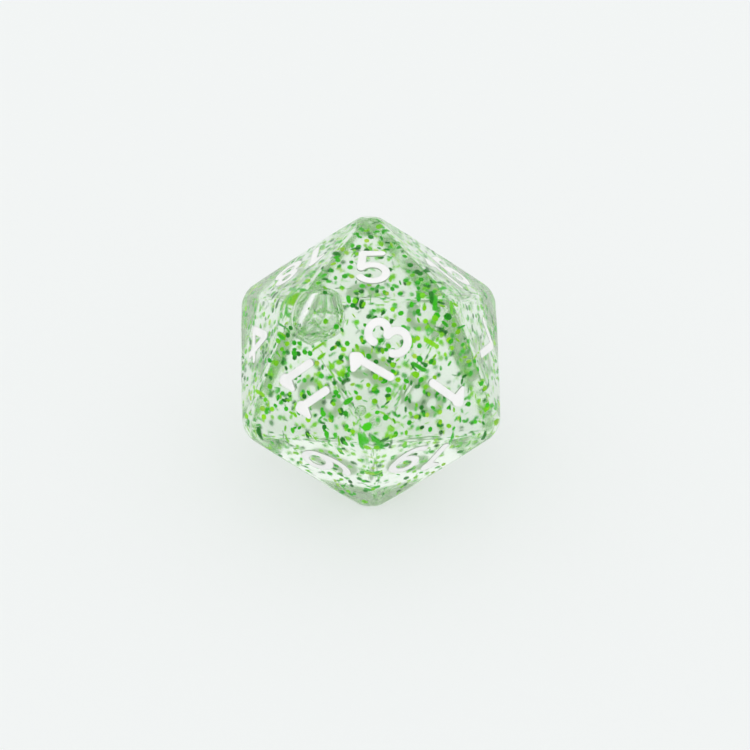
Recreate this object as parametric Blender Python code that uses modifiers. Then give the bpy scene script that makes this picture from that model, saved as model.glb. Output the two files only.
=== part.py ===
"""Twenty-sided die: a clear resin casting with a painted numeral inlaid in each face.

The die rests on one face. +Z is up and the origin is the centre of the resting face.
Lengths are in metres.
"""

import math

import bmesh
import bpy
from mathutils import Matrix, Vector

# Casting: a regular icosahedron with rounded corners and slightly rounded edges.
FACE_TO_FACE = 0.020
CORNER_SETBACK = 0.0022        # along each edge, from the sharp corner to where rounding starts
CORNER_SEGMENTS = 5
EDGE_WIDTH = 0.00050
EDGE_SEGMENTS = 3
SHARP_EDGE_ANGLE = math.radians(30)

# Numerals: strokes with round ends, engraved into the faces and filled with paint.
STROKE_WIDTH = 0.00065
SINGLE_HEIGHT = 0.00425        # a one-digit numeral is drawn a little larger
PAIR_HEIGHT = 0.00395
PAIR_SPACING = 0.00092         # clear distance between the two digits of a numeral
SINGLE_RISE = 0.00022          # from the face's centre to the numeral's centre
PAIR_RISE = -0.00057
RECESS_DEPTH = 0.00025
PAINT_DROP = 0.00001           # from the face down to the paint's surface
PAINT_GAP = 0.00003            # between the paint and the recess around it and under it
CUTTER_OVERSHOOT = 0.0005
ARC_STEP = math.radians(15)
CAP_SEGMENTS = 6
WELD_DISTANCE = 1e-7

INRADIUS = FACE_TO_FACE / 2
EDGE_LENGTH = INRADIUS * 4 * math.sqrt(3) / (3 + math.sqrt(5))
CIRCUMRADIUS = EDGE_LENGTH * math.sin(math.radians(72))

# Compass direction and elevation, in degrees, of ten faces. Opposite numerals add up to
# OPPOSITE_SUM, which places the other ten.
OPPOSITE_SUM = 21
FACE_DIRECTIONS = {
    5: (0, 90),
    13: (270, 48), 18: (150, 48), 15: (30, 48),
    11: (232, 19), 1: (308, 19), 4: (188, 19), 7: (352, 19),
    9: (248, -19), 19: (292, -19),
}
# Each numeral stands on the edge that its face shares with this neighbour. The opposite
# faces follow the same rule with the opposite neighbours.
STANDS_ON = {5: 13, 13: 1, 18: 2, 15: 7, 11: 13, 1: 13, 4: 14, 7: 1, 9: 19, 19: 1}
# Numerals cut off their usual place on the face: (across, up).
OFF_PLACE = {
    4: (-0.00015, 0.00005), 7: (0.00008, -0.00060), 15: (0.0, -0.00020),
    18: (0.0, 0.00025), 19: (0.0, -0.00010),
}

COLOURS = {
    "clear_resin": ((0.80, 0.89, 0.81), 0.06, 0.0),
    "numeral_paint": ((0.93, 0.93, 0.91), 0.55, 0.0),
}


def clear_scene():
    for item in list(bpy.data.objects):
        bpy.data.objects.remove(item)


def make_collection(name):
    collection = bpy.data.collections.new(name)
    bpy.context.scene.collection.children.link(collection)
    return collection


def make_material(name):
    colour, roughness, metallic = COLOURS[name]
    material = bpy.data.materials.new(name)
    material.use_nodes = True
    shader = material.node_tree.nodes["Principled BSDF"]
    shader.inputs["Base Color"].default_value = (*colour, 1.0)
    shader.inputs["Roughness"].default_value = roughness
    shader.inputs["Metallic"].default_value = metallic
    return material


def evaluated_copy(item):
    """The mesh of an object with its modifiers applied."""
    bpy.context.view_layer.update()
    graph = bpy.context.evaluated_depsgraph_get()
    return bpy.data.meshes.new_from_object(item.evaluated_get(graph))


# ---------------------------------------------------------------- glyph strokes
# A glyph is drawn in units of half its centreline height, with its centre at (0, 0).
# A stroke is a list of (x, y, width factor) points; a ring is a closed ellipse.

def line(x0, y0, x1, y1, start=1.0, end=1.0):
    return [(x0, y0, start), (x1, y1, end)]


def arc(x, y, radius_x, radius_y, start, end):
    """Points on an ellipse from one angle to another, in degrees."""
    sweep = math.radians(end - start)
    count = max(2, round(abs(sweep) / ARC_STEP))
    angles = [math.radians(start) + sweep * i / count for i in range(count + 1)]
    return [(x + radius_x * math.cos(a), y + radius_y * math.sin(a), 1.0) for a in angles]


def ring(x, y, radius_x, radius_y):
    return arc(x, y, radius_x, radius_y, 0, 360)[:-1]


def turned(strokes):
    """The same strokes turned upside down."""
    return [[(-x, -y, width) for x, y, width in stroke] for stroke in strokes]


def glyph_strokes(digit):
    """Open strokes and closed rings of a digit."""
    nine_rings = [ring(0, 0.41, 0.63, 0.58)]
    nine_tail = [arc(-0.22, 0.36, 0.85, 1.36, 0, -104)]
    two_bowl = arc(0, 0.44, 0.56, 0.56, 168, -36)
    shapes = {
        "0": ([], [ring(0, 0, 0.60, 1.0)]),
        "1": ([line(0, 1, 0, -1.05), line(-0.08, 0.78, -0.55, 0.70, 1.9, 0.75)], []),
        "2": ([two_bowl, line(*two_bowl[-1][:2], -0.56, -1), line(-0.56, -1, 0.62, -1)], []),
        "3": ([arc(-0.03, 0.54, 0.52, 0.46, 185, -78), arc(-0.02, -0.47, 0.58, 0.53, 82, -170)],
              []),
        "4": ([line(0.30, 1, -0.74, -0.52), line(-0.74, -0.52, 0.76, -0.52),
               line(0.30, 1, 0.30, -1)], []),
        "5": ([line(-0.38, 0.98, 0.50, 0.98, 1.0, 0.8), line(-0.38, 0.98, -0.50, 0.02),
               arc(0, -0.36, 0.62, 0.55, 142, -152)], []),
        "6": (turned(nine_tail), turned(nine_rings)),
        "7": ([line(-0.64, 1, 0.72, 1), line(0.72, 1, -0.14, -1)], []),
        "8": ([], [ring(0, 0.53, 0.47, 0.47), ring(0, -0.46, 0.59, 0.54)]),
        "9": (nine_tail, nine_rings),
    }
    return shapes[digit]


def tangent(points, index, closed):
    """Unit direction of a centreline at one of its points."""
    count = len(points)
    before = points[(index - 1) % count] if closed else points[max(index - 1, 0)]
    after = points[(index + 1) % count] if closed else points[min(index + 1, count - 1)]
    return Vector((after[0] - before[0], after[1] - before[1])).normalized()


def offset_side(points, distance, closed):
    """A centreline moved sideways, to its left where distance is positive."""
    side = []
    for index, (x, y, width) in enumerate(points):
        along = tangent(points, index, closed)
        left = Vector((-along.y, along.x))
        side.append(Vector((x, y)) + left * distance * width)
    return side


def end_cap(centre, start, direction):
    """Points half way round a stroke's end, from start, turning clockwise."""
    arm = start - centre
    turns = [-math.pi * i / CAP_SEGMENTS for i in range(1, CAP_SEGMENTS)]
    return [centre + Matrix.Rotation(turn, 2) @ arm for turn in turns]


def stroke_outline(points, half_width):
    """Closed outline of an open stroke with round ends."""
    left = offset_side(points, half_width, False)
    right = offset_side(points, -half_width, False)
    head = end_cap(Vector(points[-1][:2]), left[-1], tangent(points, len(points) - 1, False))
    tail = end_cap(Vector(points[0][:2]), right[0], -tangent(points, 0, False))
    return left + head + right[::-1] + tail


def ring_outlines(points, half_width):
    """Outer and inner outlines of a closed ring."""
    return [offset_side(points, -half_width, True), offset_side(points, half_width, True)]


def glyph_outlines(digit, height, growth):
    """Groups of outlines in metres; each group is one solid stroke of the digit."""
    unit = (height - STROKE_WIDTH) / 2
    half_width = (STROKE_WIDTH / 2 + growth) / unit
    strokes, rings = glyph_strokes(digit)
    groups = [[stroke_outline(stroke, half_width)] for stroke in strokes]
    groups += [ring_outlines(loop, half_width) for loop in rings]
    return [[[point * unit for point in outline] for outline in group] for group in groups]


def glyph_span(digit, height):
    """Lowest and highest x of a digit's outline."""
    points = [p.x for group in glyph_outlines(digit, height, 0) for o in group for p in o]
    return min(points), max(points)


# ---------------------------------------------------------------- glyph solids

def make_stroke_object(outlines, low, high):
    """A prism between two heights on the given outlines, as a mesh object."""
    curve = bpy.data.curves.new("stroke", "CURVE")
    curve.dimensions = "2D"
    curve.fill_mode = "BOTH"
    curve.extrude = (high - low) / 2
    for outline in outlines:
        spline = curve.splines.new("POLY")
        spline.points.add(len(outline) - 1)
        for point, position in zip(spline.points, outline):
            point.co = (position.x, position.y, 0, 1)
        spline.use_cyclic_u = True
    guide = bpy.data.objects.new("stroke_curve", curve)
    bpy.context.scene.collection.objects.link(guide)
    mesh = evaluated_copy(guide)
    bpy.data.objects.remove(guide)
    weld = bmesh.new()
    weld.from_mesh(mesh)
    bmesh.ops.remove_doubles(weld, verts=weld.verts, dist=WELD_DISTANCE)
    bmesh.ops.translate(weld, verts=weld.verts, vec=(0, 0, (low + high) / 2))
    bmesh.ops.recalc_face_normals(weld, faces=weld.faces)
    weld.to_mesh(mesh)
    weld.free()
    solid = bpy.data.objects.new("stroke_solid", mesh)
    bpy.context.scene.collection.objects.link(solid)
    return solid


def make_glyph_mesh(digit, height, growth, low, high):
    """One closed mesh of a digit: its strokes, joined by Boolean unions."""
    solids = [make_stroke_object(group, low, high)
              for group in glyph_outlines(digit, height, growth)]
    for other in solids[1:]:
        union = solids[0].modifiers.new("join", "BOOLEAN")
        union.operation = "UNION"
        union.object = other
    mesh = evaluated_copy(solids[0])
    mesh.name = "digit_" + digit
    for solid in solids:
        bpy.data.objects.remove(solid)
    return mesh


# ---------------------------------------------------------------- faces of the die

def make_blank_mesh():
    """A regular icosahedron, centred on its own origin, with one face level underneath."""
    blank = bmesh.new()
    bmesh.ops.create_icosphere(blank, subdivisions=1, radius=CIRCUMRADIUS)
    blank.normal_update()
    bottom = min(blank.faces, key=lambda face: face.calc_center_median().z)
    level = bottom.normal.rotation_difference(Vector((0, 0, -1))).to_matrix()
    bmesh.ops.rotate(blank, verts=blank.verts, cent=(0, 0, 0), matrix=level)
    corner = min(bottom.verts, key=lambda vert: vert.co.y).co
    spin = math.radians(-90) - math.atan2(corner.y, corner.x)
    bmesh.ops.rotate(blank, verts=blank.verts, cent=(0, 0, 0),
                     matrix=Matrix.Rotation(spin, 3, "Z"))
    blank.normal_update()
    normals = [face.normal.copy() for face in blank.faces]
    mesh = bpy.data.meshes.new("resin_body")
    blank.to_mesh(mesh)
    blank.free()
    return mesh, normals


def direction(azimuth, elevation):
    level = math.cos(math.radians(elevation))
    return Vector((level * math.cos(math.radians(azimuth)),
                   level * math.sin(math.radians(azimuth)),
                   math.sin(math.radians(elevation))))


def face_normals(normals):
    """Outward normal of the face that carries each numeral."""
    found = {}
    for number, angles in FACE_DIRECTIONS.items():
        aim = direction(*angles)
        found[number] = max(normals, key=aim.dot)
        found[OPPOSITE_SUM - number] = max(normals, key=(-aim).dot)
    return found


def bottom_neighbours():
    """The neighbour on whose shared edge each numeral stands."""
    opposite = {OPPOSITE_SUM - n: OPPOSITE_SUM - m for n, m in STANDS_ON.items()}
    return {**STANDS_ON, **opposite}


def face_frame(normal, neighbour_normal):
    """Frame at a face's centre: z points outward and y away from the given neighbour."""
    up = -(neighbour_normal - neighbour_normal.project(normal)).normalized()
    frame = Matrix((up.cross(normal), up, normal)).transposed().to_4x4()
    frame.translation = Vector((0, 0, INRADIUS)) + normal * INRADIUS
    return frame


def digit_places(number):
    """(digit, node name, numeral height, x, y) of each digit of a numeral."""
    digits = str(number)
    if len(digits) == 1:
        return [(digits, f"numeral_{number}", SINGLE_HEIGHT, 0.0, SINGLE_RISE)]
    spans = [glyph_span(digit, PAIR_HEIGHT) for digit in digits]
    total = sum(high - low for low, high in spans) + PAIR_SPACING
    tens_x = -total / 2 - spans[0][0]
    ones_x = total / 2 - spans[1][1]
    return [(digits[0], f"numeral_{number}_tens", PAIR_HEIGHT, tens_x, PAIR_RISE),
            (digits[1], f"numeral_{number}_ones", PAIR_HEIGHT, ones_x, PAIR_RISE)]


# ---------------------------------------------------------------- sub-parts

def make_paint(places, parent, collection, material):
    """One painted inlay for each digit; equal digits of one size share a mesh."""
    top = -PAINT_DROP
    bottom = -(RECESS_DEPTH - PAINT_GAP)
    meshes = {}
    for digit, name, height, frame in places:
        if (digit, height) not in meshes:
            mesh = make_glyph_mesh(digit, height, 0, bottom, top)
            mesh.materials.clear()
            mesh.materials.append(material)
            mesh.shade_smooth()
            mesh.set_sharp_from_angle(angle=SHARP_EDGE_ANGLE)
            meshes[digit, height] = mesh
        inlay = bpy.data.objects.new(name, meshes[digit, height])
        inlay.parent = parent
        inlay.location = frame.translation
        inlay.rotation_mode = "QUATERNION"
        inlay.rotation_quaternion = frame.to_quaternion()
        collection.objects.link(inlay)


def make_recess_cutter(places, collection):
    """All the recesses as one cutter, each a gap larger than the paint that it holds."""
    joined = bmesh.new()
    for digit, _, height, frame in places:
        mesh = make_glyph_mesh(digit, height, PAINT_GAP, -RECESS_DEPTH, CUTTER_OVERSHOOT)
        mesh.transform(frame)
        joined.from_mesh(mesh)
        bpy.data.meshes.remove(mesh)
    mesh = bpy.data.meshes.new("numeral_recesses")
    joined.to_mesh(mesh)
    joined.free()
    cutter = bpy.data.objects.new("numeral_recesses", mesh)
    cutter.hide_render = True
    cutter.display_type = "WIRE"
    collection.objects.link(cutter)
    return cutter


def make_body(mesh, cutter, parent, collection, material):
    """The casting: rounded corners, rounded edges and the engraved recesses."""
    mesh.materials.append(material)
    mesh.shade_smooth()
    body = bpy.data.objects.new("resin_body", mesh)
    body.parent = parent
    body.location = (0, 0, INRADIUS)
    collection.objects.link(body)
    corners = body.modifiers.new("rounded_corners", "BEVEL")
    corners.affect = "VERTICES"
    corners.width = CORNER_SETBACK
    corners.segments = CORNER_SEGMENTS
    edges = body.modifiers.new("rounded_edges", "BEVEL")
    edges.limit_method = "ANGLE"
    edges.angle_limit = SHARP_EDGE_ANGLE
    edges.width = EDGE_WIDTH
    edges.segments = EDGE_SEGMENTS
    engraving = body.modifiers.new("engraving", "BOOLEAN")
    engraving.operation = "DIFFERENCE"
    engraving.object = cutter
    shading = body.modifiers.new("flat_faces_shaded_flat", "WEIGHTED_NORMAL")
    shading.weight = 100
    return body


def main():
    clear_scene()
    parts = make_collection("polyhedral_die")
    cutters = make_collection("cutters")
    die = bpy.data.objects.new("die_origin", None)
    parts.objects.link(die)

    blank_mesh, normals = make_blank_mesh()
    normal_of = face_normals(normals)
    below = bottom_neighbours()
    places = []
    for number in sorted(normal_of):
        frame = face_frame(normal_of[number], normal_of[below[number]])
        across, up = OFF_PLACE.get(number, (0.0, 0.0))
        for digit, name, height, x, y in digit_places(number):
            spot = Matrix.Translation((x + across, y + up, 0))
            places.append((digit, name, height, frame @ spot))

    cutter = make_recess_cutter(places, cutters)
    make_body(blank_mesh, cutter, die, parts, make_material("clear_resin"))
    make_paint(places, die, parts, make_material("numeral_paint"))


main()
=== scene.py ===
"""The finished look of the twenty-sided die: clear resin full of green glitter, white numerals.

Lengths are in metres unless a comment says otherwise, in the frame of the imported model: the
die rests on z = 0 and the 13 faces -Y. The casting and the paint replace the CAD solids, and
the glitter and the air bubbles, which the CAD leaves out, are added inside the casting.
"""
import math

import bmesh
import bpy
import numpy as np
from mathutils import Matrix, Vector
from mathutils.geometry import closest_point_on_tri


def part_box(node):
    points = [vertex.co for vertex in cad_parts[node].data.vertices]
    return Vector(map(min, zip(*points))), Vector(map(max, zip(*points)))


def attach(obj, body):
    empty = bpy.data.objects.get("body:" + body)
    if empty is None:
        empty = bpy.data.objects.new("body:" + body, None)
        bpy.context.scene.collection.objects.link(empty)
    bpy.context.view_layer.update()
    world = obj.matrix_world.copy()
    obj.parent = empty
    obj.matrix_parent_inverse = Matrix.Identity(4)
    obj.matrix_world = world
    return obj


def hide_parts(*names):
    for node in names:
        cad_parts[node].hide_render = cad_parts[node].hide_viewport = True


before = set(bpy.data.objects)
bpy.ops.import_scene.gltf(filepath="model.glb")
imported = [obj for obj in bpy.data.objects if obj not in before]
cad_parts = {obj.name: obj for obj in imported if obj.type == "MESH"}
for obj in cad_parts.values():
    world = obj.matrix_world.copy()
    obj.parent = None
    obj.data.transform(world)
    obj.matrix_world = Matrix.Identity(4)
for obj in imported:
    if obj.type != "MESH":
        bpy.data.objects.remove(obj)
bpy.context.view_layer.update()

MM = 0.001

# Casting: a sharp icosahedron, rounded as if a ball had rolled round inside it
LOW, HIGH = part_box("resin_body")
INRADIUS = (float(HIGH[2]) - float(LOW[2])) / 2
CENTRE = Vector((0, 0, float(LOW[2]) + INRADIUS))
EDGE_LENGTH = INRADIUS * 4 * math.sqrt(3) / (3 + math.sqrt(5))
CIRCUMRADIUS = EDGE_LENGTH * math.sin(math.radians(72))
FACE_INRADIUS = EDGE_LENGTH * math.sqrt(3) / 6
EDGE_RADIUS = 1.30 * MM
CORNER_RADIUS = 2.30 * MM
CORNER_BLEND = 4.2 * MM             # over this distance from a corner its radius eases off
# From the centre to the tip of a rounded corner
CORNER_REACH = CIRCUMRADIUS - CORNER_RADIUS * (CIRCUMRADIUS / INRADIUS - 1)
# Distances from the sharp edges, in millimetres, of the loops that round each face's rim
INSETS = [0.95, 0.82, 0.70, 0.59, 0.49, 0.40, 0.31, 0.225, 0.145, 0.07, 0.0]
SIDE_STEPS = 44                     # points along each side of a loop
SIDE_EVENNESS = 0.45                # 1 spaces them evenly, 0 crowds them at the corners
SEAM_WELD = 1e-6                    # neighbouring faces join where points are this close
SHORTEST_EDGE = 1e-7                # shorter edges are dissolved
SHARP_ANGLE = math.radians(35)      # edges that bend more than this are shaded sharp

# Numerals
STROKE_WIDTH = 0.65 * MM
SINGLE_HEIGHT = 4.25 * MM           # height of the digit of a one-digit numeral
PAIR_HEIGHT = 3.95 * MM             # height of the digits of a two-digit numeral
PAIR_SPACING = 0.92 * MM            # clear space between the two digits
SINGLE_RISE = 0.22 * MM             # how far a numeral's middle is above the face's centre
PAIR_RISE = -0.57 * MM
RECESS_DEPTH = 0.25 * MM
PAINT_DROP = 0.01 * MM              # the paint's surface lies this far below the face
PAINT_BITE = 0.012 * MM             # the paint wets the resin, so it reaches just into it
CUTTER_OVERSHOOT = 0.5 * MM         # the recess cutter stands this far out of the face
ARC_STEP = math.radians(7.5)        # between the points of an arc
CAP_SEGMENTS = 12                   # in the round end of a stroke
WELD_DISTANCE = 1e-7                # a stroke's sides and caps join at this distance

OPPOSITE_SUM = 21
# Azimuth from +X and elevation, in degrees, of each numbered face; the rest lie opposite
FACE_DIRECTIONS = {
    5: (0, 90),
    13: (270, 48), 18: (150, 48), 15: (30, 48),
    11: (232, 19), 1: (308, 19), 4: (188, 19), 7: (352, 19),
    9: (248, -19), 19: (292, -19),
}
# Numerals cut off their usual place on the face: (across, up) in millimetres
OFF_PLACE = {4: (-0.15, 0.05), 7: (0.08, -0.60), 15: (0.0, -0.20), 18: (0.0, 0.25),
             19: (0.0, -0.10)}
# The numeral on the face that lies below each numeral's feet
STANDS_ON = {5: 13, 13: 1, 18: 2, 15: 7, 11: 13, 1: 13, 4: 14, 7: 1, 9: 19, 19: 1}

# Glitter
GLITTER_SEED = 21
FLAKE_CORNERS = 6
FLAKE_RADIUS = 0.25 * MM
FLAKE_SIZES = (0.82, 1.12)          # smallest and largest flake, as shares of that radius
FLAKE_THICKNESS = 0.035 * MM
FLAKE_ALIGNMENT = 1.3               # how strongly flakes lie along the nearest face
FLAKE_MARGIN = 0.30 * MM            # least depth of a flake's centre below a face
ENGRAVED_SLAB = 0.55 * MM           # least depth of a flake's centre below a digit
SKIN_DEPTH = 2.8 * MM               # the glitter is densest within this depth
CORE_SHARE = 0.30                   # density at the centre, as a share of that in the skin
SAME_FACE = 0.99                    # cosine above which two normals belong to one face
SETTLED_FACE = 13                   # the glitter has settled towards this face
FAR_SHARE = 0.40                    # density at the far side, as a share of that at this face
# Name, number of flakes, darkest and lightest colour, metallic, roughness. Besides the glitter's
# own greens and lime, the groups' lightness is partly painted light: the darkest group is painted
# shade for flakes turned away from the light, and the palest is painted sparkle for flakes that
# catch it.
GLITTER = [
    ("glitter_painted_shade", 260, (0.001, 0.20, 0.001), (0.004, 0.38, 0.001), 0.2, 0.40),
    ("glitter_green", 550, (0.012, 0.56, 0.001), (0.08, 0.84, 0.001), 0.2, 0.35),
    ("glitter_lime", 430, (0.22, 0.94, 0.001), (0.44, 1.0, 0.001), 0.2, 0.30),
    ("glitter_painted_sparkle", 90, (0.50, 1.0, 0.02), (0.64, 1.0, 0.08), 0.2, 0.30),
]

# Air bubbles in the casting: (x, y, z, radius) in millimetres
BUBBLES = [(-4.05, -2.62, 16.98, 1.85), (-1.04, -9.60, 13.35, 0.42)]
BUBBLE_SUBDIVISIONS = 4

# Finishes
RESIN_IOR = 1.50
RESIN_SPECULAR_TINT = (0.55, 0.85, 0.50, 1.0)
RESIN_TINTS = [(0.3, (0.975, 0.992, 0.978)), (0.7, (0.990, 1.0, 0.992))]
RESIN_HAZE = (0.10, 0.15)           # least and greatest roughness
RESIN_DEPTH_COLOUR = (0.80, 0.965, 0.73, 1.0)
RESIN_DEPTH_DENSITY = 24.0
RESIN_RIPPLE_STRENGTH = 0.5
PAINT_TONES = [(0.25, (0.89, 0.885, 0.875)), (0.65, (0.96, 0.945, 0.94))]
PAINT_ROUGHNESS = (0.38, 0.62)
PAINT_GRAIN_STRENGTH = 0.35
BUMP_HEIGHT = 0.00002               # of the resin's ripples and the paint's grain
FOIL_SPREAD = (-0.10, 0.12)         # how far a flake's roughness varies about its own
# Noise of each finish: (scale per metre, detail, roughness)
RESIN_CLOUDS = (260.0, 3.0, 0.5)
RESIN_MIST = (900.0, 4.0, 0.5)
RESIN_RIPPLES = (420.0, 1.0, 0.5)
PAINT_PATCHES = (700.0, 2.0, 0.5)
PAINT_GRAIN = (5200.0, 4.0, 0.6)
FOIL_GRAIN = (6000.0, 2.0, 0.5)

# Floor
FLOOR_HALF_WIDTH = 3.0
FLOOR_GAP = 0.00003                 # keeps the floor off the face that rests on it
FLOOR_COLOUR = (0.38, 0.39, 0.39, 1.0)
FLOOR_GLOW = 0.52                   # the floor is lit from within like a light table
FLOOR_ROUGHNESS = 0.8
FLOOR_GLOSS = 0.1

# Light and camera
LIGHT_COLOUR = (0.985, 1.0, 0.995, 1.0)
CLEAR_BOUNCES = 64                  # light crosses many walls and flakes in clear resin
DIFFUSE_BOUNCES = 16
GLOSSY_BLUR = 0.5
CAMERA_ELEVATION = math.radians(41.70)
CAMERA_AZIMUTH = math.radians(-2.48)
CAMERA_ROLL = math.radians(1.25)
CAMERA_DISTANCE = 0.300
CAMERA_LENS = 174.6                 # focal length and sensor in millimetres
SENSOR_WIDTH = 36.0
FRAME_OFFSET = (-0.0066, 0.0178)    # where the die's centre falls, in frame widths
CLIP_RANGE = (0.01, 20.0)


# ---------------------------------------------------------------- glyph strokes
# A glyph is drawn in units of half its centreline height, with its centre at (0, 0).
# A stroke is a list of (x, y, width factor) points; a ring is a closed ellipse.

def line(x0, y0, x1, y1, start=1.0, end=1.0):
    return [(x0, y0, start), (x1, y1, end)]


def arc(x, y, radius_x, radius_y, start, end):
    sweep = math.radians(end - start)
    count = max(2, round(abs(sweep) / ARC_STEP))
    angles = [math.radians(start) + sweep * i / count for i in range(count + 1)]
    return [(x + radius_x * math.cos(a), y + radius_y * math.sin(a), 1.0) for a in angles]


def ring(x, y, radius_x, radius_y):
    return arc(x, y, radius_x, radius_y, 0, 360)[:-1]


def turned(strokes):
    """The same strokes, half a turn round."""
    return [[(-x, -y, width) for x, y, width in stroke] for stroke in strokes]


def glyph_strokes(digit):
    """Open strokes and closed rings of a digit."""
    nine_rings = [ring(0, 0.41, 0.63, 0.58)]
    nine_tail = [arc(-0.22, 0.36, 0.85, 1.36, 0, -104)]
    two_bowl = arc(0, 0.44, 0.56, 0.56, 168, -36)
    shapes = {
        "0": ([], [ring(0, 0, 0.60, 1.0)]),
        "1": ([line(0, 1, 0, -1.05), line(-0.08, 0.78, -0.55, 0.70, 1.9, 0.75)], []),
        "2": ([two_bowl, line(*two_bowl[-1][:2], -0.56, -1), line(-0.56, -1, 0.62, -1)], []),
        "3": ([arc(-0.03, 0.54, 0.52, 0.46, 185, -78), arc(-0.02, -0.47, 0.58, 0.53, 82, -170)],
              []),
        "4": ([line(0.30, 1, -0.74, -0.52), line(-0.74, -0.52, 0.76, -0.52),
               line(0.30, 1, 0.30, -1)], []),
        "5": ([line(-0.38, 0.98, 0.50, 0.98, 1.0, 0.8), line(-0.38, 0.98, -0.50, 0.02),
               arc(0, -0.36, 0.62, 0.55, 142, -152)], []),
        "6": (turned(nine_tail), turned(nine_rings)),
        "7": ([line(-0.64, 1, 0.72, 1), line(0.72, 1, -0.14, -1)], []),
        "8": ([], [ring(0, 0.53, 0.47, 0.47), ring(0, -0.46, 0.59, 0.54)]),
        "9": (nine_tail, nine_rings),
    }
    return shapes[digit]


def tangent(points, index, closed):
    """The direction in which a stroke runs at one of its points."""
    count = len(points)
    before = points[(index - 1) % count] if closed else points[max(index - 1, 0)]
    after = points[(index + 1) % count] if closed else points[min(index + 1, count - 1)]
    return Vector((after[0] - before[0], after[1] - before[1])).normalized()


def offset_side(points, distance, closed):
    """One side of a stroke: its centreline moved to the left by a distance."""
    side = []
    for index, (x, y, width) in enumerate(points):
        along = tangent(points, index, closed)
        left = Vector((-along.y, along.x))
        side.append(Vector((x, y)) + left * distance * width)
    return side


def end_cap(centre, start):
    """The half circle that rounds off the end of a stroke, without its two end points."""
    arm = start - centre
    turns = [-math.pi * i / CAP_SEGMENTS for i in range(1, CAP_SEGMENTS)]
    return [centre + Matrix.Rotation(turn, 2) @ arm for turn in turns]


def stroke_outline(points, half_width):
    """The outline of an open stroke, rounded at both ends."""
    left = offset_side(points, half_width, False)
    right = offset_side(points, -half_width, False)
    head = end_cap(Vector(points[-1][:2]), left[-1])
    tail = end_cap(Vector(points[0][:2]), right[0])
    return left + head + right[::-1] + tail


def ring_outlines(points, half_width):
    """The outer and the inner outline of a closed stroke."""
    return [offset_side(points, -half_width, True), offset_side(points, half_width, True)]


def glyph_outlines(digit, height, growth):
    """Groups of outlines in metres; each group is one solid stroke of the digit."""
    unit = (height - STROKE_WIDTH) / 2
    half_width = (STROKE_WIDTH / 2 + growth) / unit
    strokes, rings = glyph_strokes(digit)
    groups = [[stroke_outline(stroke, half_width)] for stroke in strokes]
    groups += [ring_outlines(loop, half_width) for loop in rings]
    return [[[point * unit for point in outline] for outline in group] for group in groups]


def glyph_span(digit, height):
    """Leftmost and rightmost extent of a digit."""
    points = [p.x for group in glyph_outlines(digit, height, 0) for o in group for p in o]
    return min(points), max(points)


# ---------------------------------------------------------------- glyph solids

def evaluated_copy(item):
    """A new mesh of an object with its modifiers applied."""
    bpy.context.view_layer.update()
    graph = bpy.context.evaluated_depsgraph_get()
    return bpy.data.meshes.new_from_object(item.evaluated_get(graph))


def link(item):
    bpy.context.scene.collection.objects.link(item)
    return item


def make_stroke_object(outlines, low, high):
    """A solid stroke between two heights above the face."""
    curve = bpy.data.curves.new("stroke", "CURVE")
    curve.dimensions = "2D"
    curve.fill_mode = "BOTH"
    curve.extrude = (high - low) / 2
    for outline in outlines:
        spline = curve.splines.new("POLY")
        spline.points.add(len(outline) - 1)
        for point, position in zip(spline.points, outline):
            point.co = (position.x, position.y, 0, 1)
        spline.use_cyclic_u = True
    guide = link(bpy.data.objects.new("stroke_curve", curve))
    mesh = evaluated_copy(guide)
    bpy.data.objects.remove(guide)
    weld = bmesh.new()
    weld.from_mesh(mesh)
    bmesh.ops.remove_doubles(weld, verts=weld.verts, dist=WELD_DISTANCE)
    bmesh.ops.translate(weld, verts=weld.verts, vec=(0, 0, (low + high) / 2))
    bmesh.ops.recalc_face_normals(weld, faces=weld.faces)
    weld.to_mesh(mesh)
    weld.free()
    return link(bpy.data.objects.new("stroke_solid", mesh))


def make_glyph_mesh(digit, height, growth, low, high):
    """One solid of all the strokes of a digit."""
    solids = [make_stroke_object(group, low, high)
              for group in glyph_outlines(digit, height, growth)]
    for other in solids[1:]:
        union = solids[0].modifiers.new("join", "BOOLEAN")
        union.operation = "UNION"
        union.object = other
    mesh = evaluated_copy(solids[0])
    mesh.name = "digit_" + digit
    for solid in solids:
        bpy.data.objects.remove(solid)
    return mesh


# ---------------------------------------------------------------- layout of the die

def sharp_icosahedron():
    """Corner positions, faces as corner indices and face normals, about the die's centre."""
    blank = bmesh.new()
    bmesh.ops.create_icosphere(blank, subdivisions=1, radius=CIRCUMRADIUS)
    blank.normal_update()
    bottom = min(blank.faces, key=lambda face: face.calc_center_median().z)
    level = bottom.normal.rotation_difference(Vector((0, 0, -1))).to_matrix()
    bmesh.ops.rotate(blank, verts=blank.verts, cent=(0, 0, 0), matrix=level)
    corner = min(bottom.verts, key=lambda vert: vert.co.y).co
    spin = math.radians(-90) - math.atan2(corner.y, corner.x)
    bmesh.ops.rotate(blank, verts=blank.verts, cent=(0, 0, 0),
                     matrix=Matrix.Rotation(spin, 3, "Z"))
    corners = [vert.co.copy() for vert in blank.verts]
    faces = [[vert.index for vert in face.verts] for face in blank.faces]
    blank.free()
    normals = [(corners[a] + corners[b] + corners[c]).normalized() for a, b, c in faces]
    return corners, faces, normals


def direction(azimuth, elevation):
    """The unit vector at an azimuth and elevation in degrees."""
    level = math.cos(math.radians(elevation))
    return Vector((level * math.cos(math.radians(azimuth)),
                   level * math.sin(math.radians(azimuth)),
                   math.sin(math.radians(elevation))))


def face_normals(normals):
    """Numeral to face normal, for all twenty."""
    found = {}
    for number, angles in FACE_DIRECTIONS.items():
        aim = direction(*angles)
        found[number] = max(normals, key=aim.dot)
        found[OPPOSITE_SUM - number] = max(normals, key=(-aim).dot)
    return found


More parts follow.
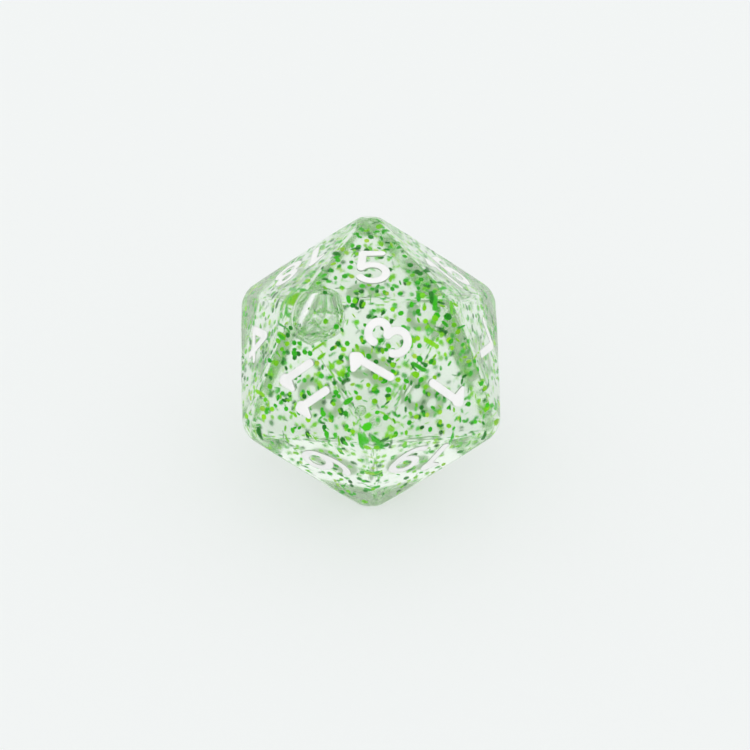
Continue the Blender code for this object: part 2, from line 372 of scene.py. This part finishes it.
def bottom_neighbours():
    """Numeral to the numeral below its feet, for all twenty."""
    opposite = {OPPOSITE_SUM - n: OPPOSITE_SUM - m for n, m in STANDS_ON.items()}
    return {**STANDS_ON, **opposite}


def face_frame(normal, neighbour_normal):
    """A face's frame: Z outward, and Y away from the face that its numeral stands on."""
    up = -(neighbour_normal - neighbour_normal.project(normal)).normalized()
    placed = Matrix((up.cross(normal), up, normal)).transposed().to_4x4()
    placed.translation = CENTRE + normal * INRADIUS
    return placed


def digit_places(number):
    """(digit, CAD node, height, x, y) of each digit of a numeral, in its face's frame."""
    digits = str(number)
    if len(digits) == 1:
        return [(digits, f"numeral_{number}", SINGLE_HEIGHT, 0.0, SINGLE_RISE)]
    spans = [glyph_span(digit, PAIR_HEIGHT) for digit in digits]
    total = sum(high - low for low, high in spans) + PAIR_SPACING
    tens_x = -total / 2 - spans[0][0]
    ones_x = total / 2 - spans[1][1]
    return [(digits[0], f"numeral_{number}_tens", PAIR_HEIGHT, tens_x, PAIR_RISE),
            (digits[1], f"numeral_{number}_ones", PAIR_HEIGHT, ones_x, PAIR_RISE)]


def numeral_places(normals):
    """(digit, CAD node, height, frame) of every digit on the die."""
    normal_of = face_normals(normals)
    below = bottom_neighbours()
    places = []
    for number in sorted(normal_of):
        across, upward = OFF_PLACE.get(number, (0.0, 0.0))
        placed = face_frame(normal_of[number], normal_of[below[number]])
        placed = placed @ Matrix.Translation((across * MM, upward * MM, 0))
        for digit, name, height, x, y in digit_places(number):
            places.append((digit, name, height, placed @ Matrix.Translation((x, y, 0))))
    return places


# ---------------------------------------------------------------- casting

def rounding_radius(point, face_corners):
    """Radius of the rounding at a point of a sharp face: larger towards the corners."""
    nearest = min((point - corner).length for corner in face_corners)
    ease = max(0.0, 1.0 - nearest / CORNER_BLEND)
    ease = ease * ease * (3 - 2 * ease)
    return EDGE_RADIUS + (CORNER_RADIUS - EDGE_RADIUS) * ease


def rounded_point(point, face_corners):
    """Where a point of a sharp face lies once a ball has rounded the edges and corners."""
    radius = rounding_radius(point, face_corners)
    core = [corner * (1 - radius / INRADIUS) for corner in face_corners]
    foot = closest_point_on_tri(point, *core)
    return foot + (point - foot).normalized() * radius


def side_fractions():
    """Fractions along a side, closer together towards its two corners."""
    steps = np.arange(SIDE_STEPS) / SIDE_STEPS
    crowded = (1 - np.cos(math.pi * steps)) / 2
    return SIDE_EVENNESS * steps + (1 - SIDE_EVENNESS) * crowded


def face_loops(face_corners, fractions):
    """Loops of points from a face's flat middle out to the rounded ridge of its edges."""
    a, b, c = (np.array(corner) for corner in face_corners)
    middle = (a + b + c) / 3
    outline = np.vstack([p + (q - p) * fractions for p, q in ((a, b), (b, c), (c, a))])
    loops = []
    for level, inset in enumerate(INSETS):
        loop = middle + (outline - middle) * (1 - inset * MM / FACE_INRADIUS)
        if level > 0:
            loop = [rounded_point(Vector(point), face_corners) for point in loop]
        loops.append(np.array(loop))
    return loops


def face_polygons(first, loop_size):
    """One polygon across the innermost loop, and a band of quads between each two loops."""
    polygons = [list(range(first, first + loop_size))]
    for level in range(len(INSETS) - 1):
        inner = first + level * loop_size
        outer = inner + loop_size
        for i in range(loop_size):
            j = (i + 1) % loop_size
            polygons.append([inner + i, outer + i, outer + j, inner + j])
    return polygons


def join_faces(mesh):
    """Welds the separately made faces of the blank into one closed surface."""
    weld = bmesh.new()
    weld.from_mesh(mesh)
    bmesh.ops.remove_doubles(weld, verts=weld.verts, dist=SEAM_WELD)
    bmesh.ops.dissolve_degenerate(weld, edges=weld.edges, dist=SHORTEST_EDGE)
    bmesh.ops.recalc_face_normals(weld, faces=weld.faces)
    weld.to_mesh(mesh)
    weld.free()


def make_blank_mesh(corners, faces):
    """The casting without its engraving: flat faces, with rounded edges and corners."""
    loop_size = 3 * SIDE_STEPS
    fractions = side_fractions()[:, None]
    loops, polygons = [], []
    for face in faces:
        polygons += face_polygons(len(loops) * loop_size, loop_size)
        loops += face_loops([corners[index] for index in face], fractions)
    mesh = bpy.data.meshes.new("blank")
    mesh.from_pydata(np.vstack(loops) + np.array(CENTRE), [], polygons)
    join_faces(mesh)
    return mesh


def finish_mesh(mesh, material):
    mesh.materials.clear()
    mesh.materials.append(material)
    mesh.shade_smooth()
    mesh.set_sharp_from_angle(angle=SHARP_ANGLE)


def make_recess_cutter(places):
    """All the digits as one object, to be cut out of the casting in one go."""
    joined = bmesh.new()
    for digit, _, height, placed in places:
        mesh = make_glyph_mesh(digit, height, 0, -RECESS_DEPTH, CUTTER_OVERSHOOT)
        mesh.transform(placed)
        joined.from_mesh(mesh)
        bpy.data.meshes.remove(mesh)
    mesh = bpy.data.meshes.new("recess_cutter")
    joined.to_mesh(mesh)
    joined.free()
    return link(bpy.data.objects.new("recess_cutter", mesh))


def add_bubbles(mesh):
    """Small closed shells that face inward, because they bound air inside the resin."""
    grown = bmesh.new()
    grown.from_mesh(mesh)
    for x, y, z, radius in BUBBLES:
        made = bmesh.ops.create_icosphere(
            grown, subdivisions=BUBBLE_SUBDIVISIONS, radius=radius * MM,
            matrix=Matrix.Translation((x * MM, y * MM, z * MM)))
        shell = {face for vert in made["verts"] for face in vert.link_faces}
        bmesh.ops.reverse_faces(grown, faces=list(shell))
    grown.to_mesh(mesh)
    grown.free()


def make_casting(corners, faces, places, material):
    """The casting with its recesses and its air bubbles."""
    blank = link(bpy.data.objects.new("blank", make_blank_mesh(corners, faces)))
    cutter = make_recess_cutter(places)
    engraving = blank.modifiers.new("engraving", "BOOLEAN")
    engraving.operation = "DIFFERENCE"
    engraving.object = cutter
    mesh = evaluated_copy(blank)
    bpy.data.objects.remove(blank)
    bpy.data.objects.remove(cutter)
    add_bubbles(mesh)
    mesh.name = "clear_casting"
    finish_mesh(mesh, material)
    return link(bpy.data.objects.new("clear_casting", mesh))


# ---------------------------------------------------------------- paint

def make_paint(places, material):
    """(piece, CAD node that it replaces) for the paint in every recess."""
    pieces = []
    floor = -RECESS_DEPTH - PAINT_BITE
    for digit, node, height, placed in places:
        mesh = make_glyph_mesh(digit, height, PAINT_BITE, floor, -PAINT_DROP)
        mesh.transform(placed)
        finish_mesh(mesh, material)
        pieces.append((link(bpy.data.objects.new("paint_" + node, mesh)), node))
    return pieces


# ---------------------------------------------------------------- glitter

def flake_density(point, normals, settled):
    """Share of flakes kept at a point: fewer in the core and away from the settled face."""
    depth = INRADIUS - max(normal.dot(point) for normal in normals)
    ease = min(1.0, max(0.0, (depth - SKIN_DEPTH) / SKIN_DEPTH))
    away = (1 - settled.dot(point) / INRADIUS) / 2
    return (1 - (1 - CORE_SHARE) * ease) * (1 - (1 - FAR_SHARE) * away)


def is_clear_of_surface(point, slabs):
    """Whether a flake at a point from the die's centre is inside and off the recesses."""
    for normal, frames in slabs:
        depth = INRADIUS - normal.dot(point)
        if depth < FLAKE_MARGIN:
            return False
        if depth < ENGRAVED_SLAB:
            for inverse, half_width, half_height in frames:
                spot = inverse @ (point + CENTRE)
                if abs(spot.x) < half_width and abs(spot.y) < half_height:
                    return False
    return True


def is_clear_of_bubbles(point):
    for x, y, z, radius in BUBBLES:
        distance = (point + CENTRE - Vector((x * MM, y * MM, z * MM))).length
        if distance < radius * MM + FLAKE_RADIUS:
            return False
    return True


def numeral_slabs(normals, places):
    """For each face, its normal and the boxes that its digits take up in its plane."""
    slabs = []
    for normal in normals:
        frames = []
        for digit, _, height, placed in places:
            if placed.to_3x3().col[2].dot(normal) > SAME_FACE:
                low, high = glyph_span(digit, height)
                reach = max(-low, high) + FLAKE_RADIUS
                frames.append((placed.inverted(), reach, height / 2 + FLAKE_RADIUS))
        slabs.append((normal, frames))
    return slabs


def flake_centres(count, generator, normals, slabs):
    """Random points in the resin, kept or dropped by the density that is wanted there."""
    settled = face_normals(normals)[SETTLED_FACE]
    centres = []
    while len(centres) < count:
        point = Vector(generator.uniform(-CIRCUMRADIUS, CIRCUMRADIUS, 3))
        if point.length > CORNER_REACH - FLAKE_MARGIN:
            continue
        if not is_clear_of_surface(point, slabs):
            continue
        if generator.random() > flake_density(point, normals, settled):
            continue
        if is_clear_of_bubbles(point):
            centres.append(point + CENTRE)
    return centres


def flake_points(centre, generator, normals):
    """The corners of one thin six-sided flake, tilted at random about the nearest face."""
    nearest = max(normals, key=(centre - CENTRE).dot)
    axis = (Vector(generator.normal(size=3)) + nearest * FLAKE_ALIGNMENT).normalized()
    side = axis.orthogonal().normalized()
    other = axis.cross(side)
    radius = FLAKE_RADIUS * generator.uniform(*FLAKE_SIZES)
    start = generator.uniform(0, math.pi)
    rim = []
    for corner in range(FLAKE_CORNERS):
        angle = start + corner * 2 * math.pi / FLAKE_CORNERS
        arm = side * math.cos(angle) + other * math.sin(angle)
        rim.append(centre + arm * radius)
    half = axis * (FLAKE_THICKNESS / 2)
    return [point + half for point in rim] + [point - half for point in rim]


def make_glitter(name, centres, generator, normals, material):
    """All the flakes of one green, as one piece."""
    points, polygons = [], []
    for centre in centres:
        first = len(points)
        points += flake_points(centre, generator, normals)
        second = first + FLAKE_CORNERS
        polygons.append([first + i for i in range(FLAKE_CORNERS)])
        polygons.append([second + i for i in reversed(range(FLAKE_CORNERS))])
        for i in range(FLAKE_CORNERS):
            j = (i + 1) % FLAKE_CORNERS
            polygons.append([first + i, second + i, second + j, first + j])
    mesh = bpy.data.meshes.new(name)
    mesh.from_pydata(points, [], polygons)
    mesh.materials.append(material)
    return link(bpy.data.objects.new(name, mesh))


# ---------------------------------------------------------------- materials

def new_material(name):
    """A material, its node tree and its shader."""
    material = bpy.data.materials.new(name)
    material.use_nodes = True
    tree = material.node_tree
    return material, tree, tree.nodes["Principled BSDF"]


def noise_node(tree, scale, detail, roughness):
    place = tree.nodes.new("ShaderNodeTexCoord")
    noise = tree.nodes.new("ShaderNodeTexNoise")
    noise.inputs["Scale"].default_value = scale
    noise.inputs["Detail"].default_value = detail
    noise.inputs["Roughness"].default_value = roughness
    tree.links.new(place.outputs["Object"], noise.inputs["Vector"])
    return noise


def ramp_node(tree, source, stops):
    """A colour ramp of (position, colour) stops."""
    ramp = tree.nodes.new("ShaderNodeValToRGB")
    elements = ramp.color_ramp.elements
    while len(elements) < len(stops):
        elements.new(0.5)
    for element, (position, colour) in zip(elements, stops):
        element.position = position
        element.color = (*colour, 1.0)
    tree.links.new(source, ramp.inputs["Fac"])
    return ramp


def range_node(tree, source, low, high):
    """A value that runs from low to high as its source runs from 0 to 1."""
    spread = tree.nodes.new("ShaderNodeMapRange")
    spread.inputs["To Min"].default_value = low
    spread.inputs["To Max"].default_value = high
    tree.links.new(source, spread.inputs["Value"])
    return spread.outputs["Result"]


def bump_node(tree, source, strength):
    bump = tree.nodes.new("ShaderNodeBump")
    bump.inputs["Distance"].default_value = BUMP_HEIGHT
    bump.inputs["Strength"].default_value = strength
    tree.links.new(source, bump.inputs["Height"])
    return bump.outputs["Normal"]


def resin_material():
    """Slightly hazy clear resin that turns green with depth."""
    material, tree, shader = new_material("clear_resin_look")
    shader.inputs["Transmission Weight"].default_value = 1.0
    shader.inputs["IOR"].default_value = RESIN_IOR
    shader.inputs["Specular Tint"].default_value = RESIN_SPECULAR_TINT
    cloud = noise_node(tree, *RESIN_CLOUDS)
    tint = ramp_node(tree, cloud.outputs["Fac"], RESIN_TINTS)
    tree.links.new(tint.outputs["Color"], shader.inputs["Base Color"])
    mist = noise_node(tree, *RESIN_MIST)
    haze = range_node(tree, mist.outputs["Fac"], *RESIN_HAZE)
    tree.links.new(haze, shader.inputs["Roughness"])
    waves = noise_node(tree, *RESIN_RIPPLES)
    ripples = bump_node(tree, waves.outputs["Fac"], RESIN_RIPPLE_STRENGTH)
    tree.links.new(ripples, shader.inputs["Normal"])
    absorption = tree.nodes.new("ShaderNodeVolumeAbsorption")
    absorption.inputs["Color"].default_value = RESIN_DEPTH_COLOUR
    absorption.inputs["Density"].default_value = RESIN_DEPTH_DENSITY
    output = tree.nodes["Material Output"]
    tree.links.new(absorption.outputs["Volume"], output.inputs["Volume"])
    return material


def paint_material():
    """White paint with a fine grain and faint patches."""
    material, tree, shader = new_material("numeral_paint_look")
    grain = noise_node(tree, *PAINT_GRAIN)
    patches = noise_node(tree, *PAINT_PATCHES)
    tone = ramp_node(tree, patches.outputs["Fac"], PAINT_TONES)
    tree.links.new(tone.outputs["Color"], shader.inputs["Base Color"])
    wear = range_node(tree, patches.outputs["Fac"], *PAINT_ROUGHNESS)
    tree.links.new(wear, shader.inputs["Roughness"])
    relief = bump_node(tree, grain.outputs["Fac"], PAINT_GRAIN_STRENGTH)
    tree.links.new(relief, shader.inputs["Normal"])
    return material


def glitter_material(name, darkest, lightest, metallic, roughness):
    """A foil whose every flake has its own green between two."""
    material, tree, shader = new_material(name + "_look")
    shader.inputs["Metallic"].default_value = metallic
    shader.inputs["Specular IOR Level"].default_value = 0.0
    geometry = tree.nodes.new("ShaderNodeNewGeometry")
    stops = [(0.0, darkest), (1.0, lightest)]
    tone = ramp_node(tree, geometry.outputs["Random Per Island"], stops)
    tree.links.new(tone.outputs["Color"], shader.inputs["Base Color"])
    foil = noise_node(tree, *FOIL_GRAIN)
    low, high = (roughness + spread for spread in FOIL_SPREAD)
    sheen = range_node(tree, foil.outputs["Fac"], low, high)
    tree.links.new(sheen, shader.inputs["Roughness"])
    return material


# ---------------------------------------------------------------- floor, light and camera

def make_floor():
    """Pale paper that glows, which keeps the die's shadow weak."""
    half = FLOOR_HALF_WIDTH
    corners = [(-half, -half), (half, -half), (half, half), (-half, half)]
    mesh = bpy.data.meshes.new("floor")
    mesh.from_pydata([(x, y, -FLOOR_GAP) for x, y in corners], [], [[0, 1, 2, 3]])
    material, _, shader = new_material("floor_paper")
    shader.inputs["Base Color"].default_value = FLOOR_COLOUR
    shader.inputs["Emission Color"].default_value = LIGHT_COLOUR
    shader.inputs["Emission Strength"].default_value = FLOOR_GLOW
    shader.inputs["Roughness"].default_value = FLOOR_ROUGHNESS
    shader.inputs["Specular IOR Level"].default_value = FLOOR_GLOSS
    mesh.materials.append(material)
    return link(bpy.data.objects.new("floor", mesh))


def make_world():
    """Even light from all round, as in a light tent."""
    world = bpy.data.worlds.new("soft_studio")
    world.use_nodes = True
    bpy.context.scene.world = world
    background = world.node_tree.nodes["Background"]
    background.inputs["Color"].default_value = LIGHT_COLOUR
    background.inputs["Strength"].default_value = 1.0


def make_camera():
    """A camera turned and rolled so that the die's centre falls at FRAME_OFFSET."""
    level = math.cos(CAMERA_ELEVATION)
    back = Vector((math.sin(CAMERA_AZIMUTH) * level, -math.cos(CAMERA_AZIMUTH) * level,
                   math.sin(CAMERA_ELEVATION)))
    right = Vector((math.cos(CAMERA_AZIMUTH), math.sin(CAMERA_AZIMUTH), 0))
    up = back.cross(right)
    rolled_right = right * math.cos(CAMERA_ROLL) + up * math.sin(CAMERA_ROLL)
    rolled_up = up * math.cos(CAMERA_ROLL) - right * math.sin(CAMERA_ROLL)
    place = CENTRE + back * CAMERA_DISTANCE
    frame_width = CAMERA_DISTANCE * SENSOR_WIDTH / CAMERA_LENS
    target = CENTRE - (rolled_right * FRAME_OFFSET[0] + rolled_up * FRAME_OFFSET[1]) * frame_width
    axis = (place - target).normalized()
    side = rolled_up.cross(axis).normalized()
    pose = Matrix((side, axis.cross(side), axis)).transposed().to_4x4()
    pose.translation = place
    data = bpy.data.cameras.new("camera")
    data.lens = CAMERA_LENS
    data.sensor_width = SENSOR_WIDTH
    data.clip_start, data.clip_end = CLIP_RANGE
    camera = link(bpy.data.objects.new("camera", data))
    camera.matrix_world = pose
    bpy.context.scene.camera = camera


def set_light_paths():
    scene = bpy.context.scene
    scene.view_settings.view_transform = "Standard"
    scene.cycles.max_bounces = CLEAR_BOUNCES
    scene.cycles.transmission_bounces = CLEAR_BOUNCES
    scene.cycles.glossy_bounces = CLEAR_BOUNCES
    scene.cycles.diffuse_bounces = DIFFUSE_BOUNCES
    scene.cycles.blur_glossy = GLOSSY_BLUR
    scene.cycles.use_denoising = True


def main():
    corners, faces, normals = sharp_icosahedron()
    places = numeral_places(normals)

    casting = make_casting(corners, faces, places, resin_material())
    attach(casting, "root")
    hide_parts("resin_body")

    for piece, node in make_paint(places, paint_material()):
        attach(piece, "root")
        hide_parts(node)

    generator = np.random.default_rng(GLITTER_SEED)
    slabs = numeral_slabs(normals, places)
    for name, count, darkest, lightest, metallic, roughness in GLITTER:
        centres = flake_centres(count, generator, normals, slabs)
        material = glitter_material(name, darkest, lightest, metallic, roughness)
        piece = make_glitter(name, centres, generator, normals, material)
        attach(piece, "root")

    make_floor()
    make_world()
    make_camera()
    set_light_paths()


main()
